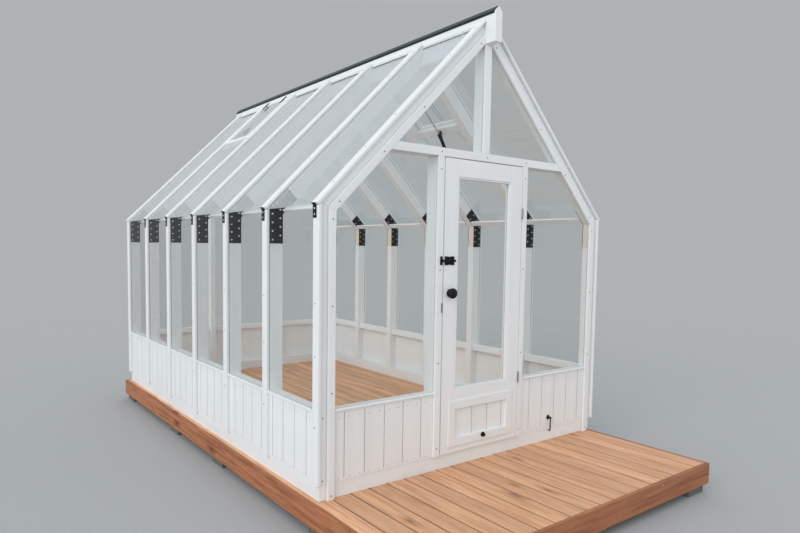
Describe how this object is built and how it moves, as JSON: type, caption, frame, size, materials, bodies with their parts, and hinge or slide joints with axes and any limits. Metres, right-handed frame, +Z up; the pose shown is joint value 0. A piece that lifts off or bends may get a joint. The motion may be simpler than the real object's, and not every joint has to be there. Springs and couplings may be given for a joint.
{
  "type": "timber greenhouse",
  "caption": "White timber greenhouse with a pitched glass roof, boarded lower walls, a half-glazed gable door, roof vents and a raised timber deck in front.",
  "frame": {"origin": "on the ground under the middle of the door's gable wall, at the underside of the pad there", "axes": "+X to the right across the door's gable, +Y back along the ridge away from the door, +Z up"},
  "size_m": [2.5841, 4.943, 3.1913],
  "materials": {
    "white_timber": "satin white paint",
    "deck_timber": "oiled, warm brown",
    "pad_stone": "plain concrete",
    "clear_glass": "clear float glass",
    "black_metal": "black powder coat",
    "roof_metal": "slate green coat",
    "bright_steel": "plain steel"
  },
  "bodies": {
    "house": {"side_base_boards": "white_timber", "end_base_boards": "white_timber", "frame_posts": "white_timber", "rafters": "white_timber", "ridge_beam": "white_timber", "eaves_rails": "white_timber", "sills": "white_timber", "lower_panels": "white_timber", "wall_strips": "white_timber", "roof_caps": "white_timber", "vent_trimmers": "white_timber", "vent_frames": "white_timber", "gable_posts": "white_timber", "gable_beams": "white_timber", "gable_upright_strips": "white_timber", "gable_rafter_strips": "white_timber", "gable_beam_strips": "white_timber", "door_stops": "white_timber", "deck_floor": "deck_timber", "deck_side_rims": "deck_timber", "deck_end_rims": "deck_timber", "deck_joists": "deck_timber", "deck_pads": "pad_stone", "wall_glass": "clear_glass", "roof_glass": "clear_glass", "gable_glass": "clear_glass", "eaves_brackets": "black_metal", "eaves_clips": "black_metal", "vent_hinges": "black_metal", "vent_openers": "black_metal", "hook_plate": "black_metal", "ridge_cap": "roof_metal", "post_hinge_leaves": "bright_steel", "post_keepers": "bright_steel"},
    "door": {"door_stiles": "white_timber", "door_rails": "white_timber", "door_glass": "clear_glass", "door_panel": "white_timber", "door_moulding": "white_timber", "knob_roses": "black_metal", "bolt_plate": "black_metal", "door_eye_plate": "black_metal", "door_hinge_leaves": "bright_steel"},
    "bolt": {"bolt_rod": "black_metal"},
    "knob": {"door_knob": "black_metal"},
    "hook": {"door_hook": "black_metal"}
  },
  "joints": [
    {"name": "door_swing", "type": "hinge", "parent": "house", "child": "door", "pos_m": [0.3635, -0.0055, 1.308], "axis": [0, 0, 1], "range_deg": [0, 170]},
    {"name": "bolt_slide", "type": "slide", "parent": "door", "child": "bolt", "axis": [-1, 0, 0], "range_m": [0, 0.026]},
    {"name": "knob_turn", "type": "hinge", "parent": "door", "child": "knob", "pos_m": [-0.305, 0, 1.35], "axis": [0, -1, 0], "range_deg": [-60, 60]},
    {"name": "hook_swing", "type": "hinge", "parent": "house", "child": "hook", "pos_m": [0.738, -0.0073, 0.376], "axis": [0, -1, 0], "range_deg": [-90, 90]}
  ]
}
